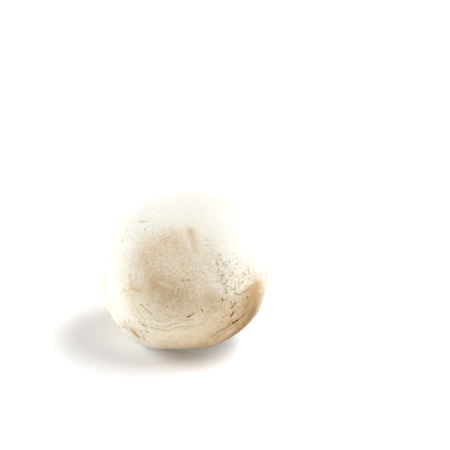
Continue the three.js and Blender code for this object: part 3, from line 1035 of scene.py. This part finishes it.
WHITE = colour(0.855, 0.84, 0.785)
CREAM = colour(0.85, 0.76, 0.57)
FAWN = colour(0.70, 0.555, 0.36)
OCHRE = colour(0.55, 0.375, 0.185)
BRUISE = colour(0.64, 0.43, 0.19)
TAN = colour(0.46, 0.285, 0.12)
RUST = colour(0.50, 0.29, 0.10)
UMBER = colour(0.32, 0.17, 0.06)
BROWN = colour(0.07, 0.035, 0.017)
STRAW = colour(0.60, 0.48, 0.31)
PINK = colour(0.79, 0.67, 0.52)
CHALK = colour(0.90, 0.885, 0.82)
COTTON = colour(0.84, 0.825, 0.77)
# painted shade for the hollow round the stem
HOLLOW_SHADE = colour(0.36, 0.27, 0.19)
STEM = colour(0.83, 0.76, 0.62)
CUT_FLESH = colour(0.84, 0.80, 0.71)
print("white gives back", WHITE[0], "of the red light that meets it, and brown", BROWN[0])

# %% [markdown]
# Nothing on a mushroom is printed, so no image is needed: every pattern is a noise that Blender works
# out from the place on the skin. A few helpers keep their sizes in mm. The place is read from Object
# coordinates, which stay put on the mesh.

# %% Start the skin
def new_paint(name):
    """A new material, its shader, and a wire to begin its maths with."""
    paint = bpy.data.materials.new(name)
    paint.use_nodes = True
    return paint, paint.node_tree.nodes["Principled BSDF"], Wire(paint.node_tree)


skin, skin_shader, start = new_paint("mushroom_skin")
place = start.node("TexCoord", out="Object")
thread_way = start.node("Attribute", {"attribute_name": "combed"}, out="Vector")


def tint(name):
    """What the mesh carries under this name."""
    return start.node("Attribute", {"attribute_name": name}, out="Fac")


def noise(size, detail, twist=0.0, vector=place):
    """A noise with lumps of the given size in mm; twist swirls it."""
    scale = 1 / (size * MM)
    values = {"Vector": vector, "Scale": scale, "Detail": detail, "Roughness": 0.6, "Distortion": twist}
    return start.node("TexNoise", None, values)


def leaning(vector, lean, length):
    """The vector for a pattern that is drawn out upwards by length and leans to the right."""
    turned = {"Vector": vector, "Rotation": (0, math.radians(lean), 0), "Scale": (1, 1, length)}
    return start.node("Mapping", {"vector_type": "TEXTURE"}, turned)


print("nodes so far:", len(skin.node_tree.nodes))

# %% [markdown]
# Noises of several sizes mottle the skin, from patches of 2.4 mm down to the grain. One is drawn out
# along a slant, as felt is when it is brushed. Another is read through the combed numbers, so that its
# threads run from crown to margin.

# %% Grain and mottle
FIBRE_SCALE = 26.0  # on the combed numbers, which are no lengths
STRAND = 0.34  # mm

patchy = noise(2.4, 3, 0.8)
swirl = noise(1.1, 4, 1.6)
grain = noise(0.5, 2)
fleck = noise(0.42, 1)
rosy = noise(0.8, 2)
tearing = noise(0.25, 2)
weave = noise(STRAND, 2, vector=leaning(place, 40, 5.0))
threaded = {"Vector": thread_way, "Scale": FIBRE_SCALE, "Detail": 3, "Roughness": 0.65}
fibre = start.node("TexNoise", None, threaded)
mottle = 1 + (patchy - 0.5) * 1.2 + (swirl - 0.5) * 1.0 + (fibre - 0.5) * 0.8
creamy = tint("cream") * mottle
fawn = tint("fawn") * mottle
print("nodes so far:", len(skin.node_tree.nodes))

# %% [markdown]
# On the dried flank the skin has split into small scales. The borders between the cells of a Voronoi
# texture make such a net. Its cells are drawn out and lean, and a noise is added to the place first,
# so no border is straight. The middles of other cells, where a patchy noise lets them through, are the
# tiny brown dots.

# %% Dots and a net of splits
DOT_CELL = 1.5  # mm
NET_CELL = 1.5
STRAY_SIZE = 0.9  # the noise that bends the net: its size, and how far it bends, mm
STRAY = 1.4

cells = {"Vector": place, "Scale": 1 / (DOT_CELL * MM), "Randomness": 1.0}
dotted = start.node("TexVoronoi", {"feature": "F1"}, cells, out="Distance").rise(0.15, 0.05)
bends = {"Vector": place, "Scale": 1 / (STRAY_SIZE * MM), "Detail": 3}
stray = start.node("TexNoise", None, bends, out="Color")
bent = start.node("VectorMath", {"operation": "MULTIPLY_ADD"}, {0: stray, 1: (STRAY * MM,) * 3, 2: place})
scales = {"Vector": leaning(bent, 25, 1.8), "Scale": 1 / (NET_CELL * MM)}
seam = start.node("TexVoronoi", {"feature": "DISTANCE_TO_EDGE"}, scales, out="Distance")
netted = tint("netted") * swirl.rise(0.36, 0.56)
net = seam.rise(0.06, 0.015) * netted
print("nodes so far:", len(skin.node_tree.nodes))

# %% [markdown]
# A painter glazes: each colour is laid thinly over the last, the light ones first. So does this
# material. Each row below is a colour and the mask that lays it on, where 0 leaves what is under it and
# 1 hides it. The weave then darkens or lightens all of them.

# %% Glaze the cap
def glaze(paint, glazes):
    """Lays colours over the paint one after another, each by its mask."""
    for over, share in glazes:
        paint = start.blend(paint, over, share)
    return paint


paint = glaze(WHITE, (
    (CREAM, creamy),
    (FAWN, fawn),
    (OCHRE, tint("ochre") * patchy.rise(0.05, 0.65)),
    # the brown stain and painted shade of the lower right margin, browner where strongest
    (TAN, tint("stain_and_shade") * patchy.rise(0.10, 0.60)),
    (UMBER, tint("stain_and_shade").rise(0.70, 1.0) * (0.5 + swirl * 0.6)),
    (STRAW, grain.rise(0.48, 0.8) * (0.12 + creamy * 0.22)),
    (PINK, rosy.rise(0.55, 0.8) * (0.05 + creamy * 0.13)),
    (CHALK, fleck.rise(0.55, 0.8) * (0.1 + creamy * 0.1)),
    (CHALK, tint("pale") * (0.6 + swirl * 0.8)),
    (BRUISE, tint("bruise") * swirl.rise(0.30, 0.62)),
    (CREAM, seam.rise(0.35, 0.1) * netted * 0.4),
    (RUST, net * 0.6),
    (UMBER, dotted * tint("speck") * patchy.rise(0.45, 0.62) * 0.8),
))
shade = 1 + (weave - 0.5) * (0.35 + tint("woven") * 0.75)
paint = start.blend(paint, shade, 1.0, "MULTIPLY")
print("nodes so far:", len(skin.node_tree.nodes))

# %% [markdown]
# The underside is glazed in the same way: cottony veil, bare stem, the knife's cut, and painted shade
# in the hollow round the stem. Wherever something tore, it browned. Each torn edge is a line where one
# of the distances on the mesh is 0, and the finest noise roughens it. The cracks in the cap are such lines
# too.

# %% Glaze the underside and the cracks
def torn_edge(name, roughness, width):
    """A ragged line where the distance of this name is 0, fading over the width, in its own units."""
    return (tint(name) + (tearing - 0.5) * roughness).bell(width)


sheathed = tint("stem") * tint("from_ring").rise(-0.06, 0.06)
under_edge = tint("from_edge").rise(-0.9, 0.05) * tint("from_edge").rise(0.12, 0.0)
dark = tint("dark") * torn_edge("across", 1.3, 1.0)
paint = glaze(paint, (
    (COTTON, tint("veil")),
    (STRAW, tint("veil") * fibre.rise(0.45, 0.75) * 0.25),
    (CUT_FLESH, tint("cut")),
    (STEM, tint("stem") * (1 - tint("cut"))),
    (COTTON, sheathed),
    # painted shade in the hollow round the stem
    (HOLLOW_SHADE, tint("hollow") * (0.5 + fibre * 0.5)),
    (TAN, tint("browned") * torn_edge("from_edge", 0.2, 0.11)),
    (OCHRE, tint("browned") * tint("veil") * under_edge * 0.35),
    (TAN, tint("stem") * torn_edge("from_ring", 0.2, 0.12) * (0.35 + patchy * 0.8)),
    (TAN, tint("second") * torn_edge("from_second", 0.15, 0.09) * (0.5 + patchy * 0.8)),
    (OCHRE, tint("rim") * 0.75),
    # the dark of the marks: browned flesh, and painted shade in the grooves, near black in the gaps
    (UMBER, dark.rise(0.0, 0.5) * 0.9),
    (BROWN, dark.rise(0.45, 0.95)),
))
paint.into(skin_shader, "Base Color")
print("nodes so far:", len(skin.node_tree.nodes))

# %% [markdown]
# The felt is too fine for the mesh, so it is a bump: the shader only tilts the light on it. Light goes
# a little way into the flesh, which softens every shadow, and there is next to no shine.

# %% Bump and sheen
FELT_HEIGHT = 0.12 * MM


def set_sockets(shader, values):
    """Sets sockets of a shader that are the same all over."""
    for name, value in values.items():
        shader.inputs[name].default_value = value


felt = noise(0.3, 2) * 0.6 + grain * 0.6 + fibre * 0.6 + swirl * 0.6 + weave * tint("woven") * 1.1
felt = felt - net - dark * 1.6
relief = start.node("Bump", None, {"Strength": 1.0, "Distance": FELT_HEIGHT, "Height": felt})
relief.into(skin_shader, "Normal")
rough = 0.54 + grain * 0.16
rough.into(skin_shader, "Roughness")
set_sockets(skin_shader, {
    "Specular IOR Level": 0.2,
    "Subsurface Weight": 0.2,
    "Subsurface Radius": (1.0, 0.6, 0.35),
    "Subsurface Scale": 0.6 * MM,
})
flesh.data.materials.append(skin)
print("skin nodes:", len(skin.node_tree.nodes))

# %% [markdown]
# The mushroom lies in a bright studio, on a white table that throws much of the light back up. The
# table glows by itself further out, like a light table, and the world only shows white behind it, so
# the mushroom stands on pure white from every side. The glow counts as starting a little before the
# middle, so that the table is not quite dark even there.

# %% The table and the white behind it
GLOW = (-0.021, 0.18)  # m from the middle: where the glow would begin, and where it is whole
bpy.ops.object.select_all(action="DESELECT")
bpy.ops.mesh.primitive_circle_add(vertices=96, radius=2.5, fill_type="NGON", location=(0, 0, 0))
floor = bpy.context.active_object
floor.name = "floor"
floor_paint, floor_shader, floor_start = new_paint("pale_floor")
set_sockets(floor_shader, {"Base Color": colour(0.9, 0.9, 0.9), "Roughness": 0.9, "Emission Strength": 1.0})
spot = floor_start.node("TexCoord", out="Object")
from_middle = floor_start.node("VectorMath", {"operation": "LENGTH"}, {0: spot}, out="Value")
from_middle.rise(*GLOW).into(floor_shader, "Emission Color")
floor.data.materials.append(floor_paint)

world = bpy.data.worlds.new("studio")
bpy.context.scene.world = world
world.use_nodes = True
background = world.node_tree.nodes["Background"]
set_sockets(background, {"Color": colour(1, 1, 1)})
Wire(world.node_tree).node("LightPath", out="Is Camera Ray").into(background, "Strength")
bpy.context.scene.view_settings.view_transform = "Standard"
print("the table is", round(floor.dimensions.x, 1), "m across")

# %% [markdown]
# Big soft lamps stand at the left and high on the right, so the flanks glow and the front of the cap
# falls into soft, warm shade. Two weak warm ones fill it. Each lamp is a square that faces the
# mushroom, and none of them is seen itself.

# %% Lamps
LAMPS = (  # name, place and size in m, power in W, colour
    ("left_lamp", (-0.6, 0.05, 0.25), 0.4, 3.6, (1, 1, 1)),
    ("high_right_lamp", (0.4, 0.1, 0.6), 0.4, 3.4, (1, 1, 1)),
    ("small_high_lamp", (0.3, 0.3, 0.55), 0.25, 1.95, (1, 1, 1)),
    ("right_lamp", (0.6, 0.05, 0.25), 0.4, 0.6, (1, 1, 1)),
    ("front_lamp", (0.12, -0.65, 0.12), 0.5, 0.7, (1, 0.94, 0.86)),
    ("warm_side_lamp", (-0.5, -0.4, 0.2), 0.4, 0.5, (1, 0.85, 0.65)),
)
for name, where, size, power, hue in LAMPS:
    towards = (middle - Vector(where)).to_track_quat("-Z", "Y").to_euler()
    bpy.ops.object.light_add(type="AREA", location=where, rotation=towards)
    lamp = bpy.context.active_object
    lamp.name = name
    lamp.data.size = size
    lamp.data.energy = power
    lamp.data.color = hue
    lamp.visible_camera = False
watts = sum(power for name, where, size, power, hue in LAMPS)
print("lamps:", len(LAMPS), "with", round(watts, 1), "W in all")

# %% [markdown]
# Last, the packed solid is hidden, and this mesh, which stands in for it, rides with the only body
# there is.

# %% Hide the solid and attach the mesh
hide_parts("mushroom")
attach(flesh, "root")
